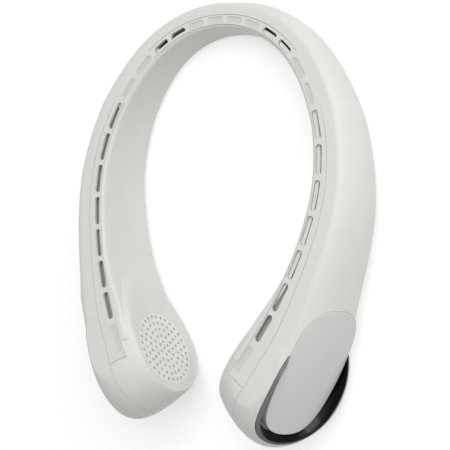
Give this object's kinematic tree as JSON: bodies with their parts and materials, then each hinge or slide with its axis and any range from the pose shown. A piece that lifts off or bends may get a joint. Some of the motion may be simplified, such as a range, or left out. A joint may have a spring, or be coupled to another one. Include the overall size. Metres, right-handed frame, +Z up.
{
  "type": "neck fan",
  "caption": "Electric neck fan: a hinged U-shaped collar with air slots along its upper face and a round fan pod with a domed oval cover at each end.",
  "frame": {"origin": "centre of the bounding box's footprint, on the surface that the part lies on", "axes": "+X to the arm with the controls, which is the near arm of the picture, +Y to the back of the neck, +Z up out of the slot face"},
  "size_m": [0.1678, 0.2109, 0.0568],
  "materials": {
    "shell": "satin white moulded plastic",
    "strip": "satin white moulded plastic",
    "cover": "smooth satin white",
    "trim": "dark bright plating",
    "sleeve": "soft white silicone",
    "grille": "fine matt",
    "button": "satin",
    "lights": "clear light pipes",
    "impeller": "moulded black",
    "frame": "moulded black",
    "board": "coated circuit board",
    "steel": "plain steel",
    "magnet": "bonded magnet",
    "bronze": "sintered bronze",
    "copper": "enamelled copper wire",
    "cell": "sleeved battery can"
  },
  "bodies": {
    "rear": {"rear_outer_shell": "shell", "rear_inner_shell": "shell", "rear_slot_strip": "strip", "right_hinge_fork": "frame", "right_hinge_pin": "steel", "right_flex_sleeve": "sleeve", "left_hinge_fork": "frame", "left_hinge_pin": "steel", "left_flex_sleeve": "sleeve"},
    "right_arm": {"right_inner_shell": "shell", "right_outer_shell": "shell", "right_slot_strip": "strip", "right_cover_plate": "cover", "right_crescent_trim": "trim", "right_intake_grille": "grille", "right_motor_plate": "frame", "right_motor_bearing": "bronze", "right_stator_core": "steel", "right_stator_coils": "copper", "right_motor_screws": "steel", "right_battery_cell": "cell", "right_hinge_link": "frame", "control_board": "board", "power_switch": "frame", "charging_socket": "steel", "indicator_lights": "lights"},
    "right_fan": {"right_impeller": "impeller", "right_rotor_can": "steel", "right_magnet_ring": "magnet", "right_fan_shaft": "steel"},
    "left_arm": {"left_inner_shell": "shell", "left_outer_shell": "shell", "left_slot_strip": "strip", "left_cover_plate": "cover", "left_crescent_trim": "trim", "left_intake_grille": "grille", "left_motor_plate": "frame", "left_motor_bearing": "bronze", "left_stator_core": "steel", "left_stator_coils": "copper", "left_motor_screws": "steel", "left_battery_cell": "cell", "left_hinge_link": "frame"},
    "left_fan": {"left_impeller": "impeller", "left_rotor_can": "steel", "left_magnet_ring": "magnet", "left_fan_shaft": "steel"},
    "button": {"power_button": "button"}
  },
  "joints": [
    {"name": "right_flex", "type": "hinge", "parent": "rear", "child": "right_arm", "pos_m": [0.05597, 0.06867, 0.01223], "axis": [0, 0.215, 0.9766], "range_deg": [-5, 15], "stiffness_Nm_per_rad": 0.3, "deforming": ["right_flex_sleeve"]},
    {"name": "right_fan_spin", "type": "hinge", "parent": "right_arm", "child": "right_fan", "pos_m": [0.03535, -0.07121, 0.0292], "axis": [0.8704, -0.4809, 0.1059], "continuous": true},
    {"name": "left_flex", "type": "hinge", "parent": "rear", "child": "left_arm", "pos_m": [-0.05597, 0.06867, 0.01223], "axis": [0, -0.215, -0.9766], "range_deg": [-5, 15], "stiffness_Nm_per_rad": 0.3, "deforming": ["left_flex_sleeve"]},
    {"name": "left_fan_spin", "type": "hinge", "parent": "left_arm", "child": "left_fan", "pos_m": [-0.03535, -0.07121, 0.0292], "axis": [-0.8704, -0.4809, 0.1059], "continuous": true},
    {"name": "power_button_press", "type": "slide", "parent": "right_arm", "child": "button", "axis": [0, 0.03, 0.9996], "range_m": [0, 0.0006], "stiffness_N_per_m": 2000}
  ]
}
